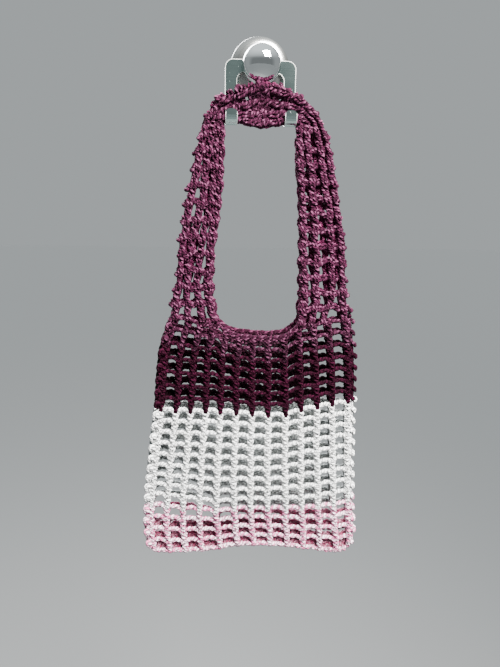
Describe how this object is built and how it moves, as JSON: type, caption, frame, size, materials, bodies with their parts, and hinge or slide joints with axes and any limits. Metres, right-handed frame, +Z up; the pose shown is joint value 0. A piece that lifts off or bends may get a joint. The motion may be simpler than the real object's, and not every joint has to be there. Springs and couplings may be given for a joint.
{
  "type": "crochet mesh bag on a suction wall hook",
  "caption": "Crocheted mesh shoulder bag with a wide strap loop, hanging from a two-prong chrome suction hook.",
  "frame": {"origin": "centre of the suction cup's back face, on the wall", "axes": "+Y into the wall, +Z up, +X to the right seen from the room"},
  "size_m": [0.2497, 0.0325, 0.5754],
  "materials": {
    "plum_yarn": "matte plied yarn",
    "mauve_yarn": "matte marled yarn",
    "white_yarn": "matte plied yarn",
    "pink_yarn": "matte marled yarn",
    "polished_steel": "mirror polished",
    "chrome": "bright plated",
    "clear_rubber": "smooth soft plastic"
  },
  "bodies": {
    "root": {"front_panel": "plum_yarn", "back_panel": "plum_yarn", "hook_plate": "polished_steel", "cup_cover": "chrome", "knob": "chrome", "suction_cup": "clear_rubber"}
  },
  "joints": []
}
